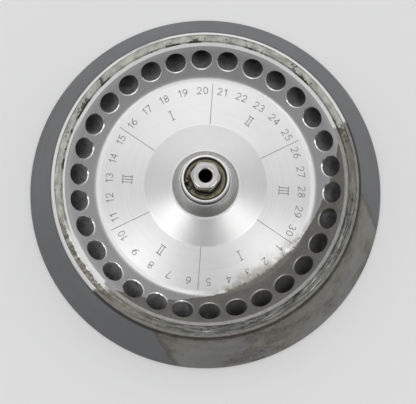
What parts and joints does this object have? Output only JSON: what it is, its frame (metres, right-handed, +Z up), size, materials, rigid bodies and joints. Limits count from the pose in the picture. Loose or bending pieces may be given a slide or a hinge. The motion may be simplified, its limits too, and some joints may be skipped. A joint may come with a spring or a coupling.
{
  "type": "fixed angle rotor",
  "caption": "Fixed angle centrifuge rotor: conical aluminium body with a ring of slanted tube bores round a flat numbered disc, and a stepped central hub holding a captive hex nut.",
  "frame": {"origin": "on the rotor axis in the plane of the base land", "axes": "+Z up along the rotor axis towards the nut; +X at the azimuth of the place numbered 28"},
  "size_m": [0.2048, 0.2048, 0.0631],
  "materials": {
    "body": "satin, turned",
    "hub": "turned",
    "washer": "dull",
    "nut": "satin",
    "ring": "yellow passivated"
  },
  "bodies": {
    "rotor": {"rotor_body": "body", "hub_sleeve": "hub", "nut_retaining_ring": "ring"},
    "washer": {"nut_washer": "washer"},
    "nut": {"rotor_nut": "nut"}
  },
  "joints": [
    {"name": "nut_float", "type": "slide", "parent": "rotor", "child": "washer", "axis": [0, 0, 1], "range_m": [0, 0.00075]},
    {"name": "nut_spin", "type": "hinge", "parent": "washer", "child": "nut", "pos_m": [0, 0, 0.05], "axis": [0, 0, 1], "continuous": true}
  ]
}
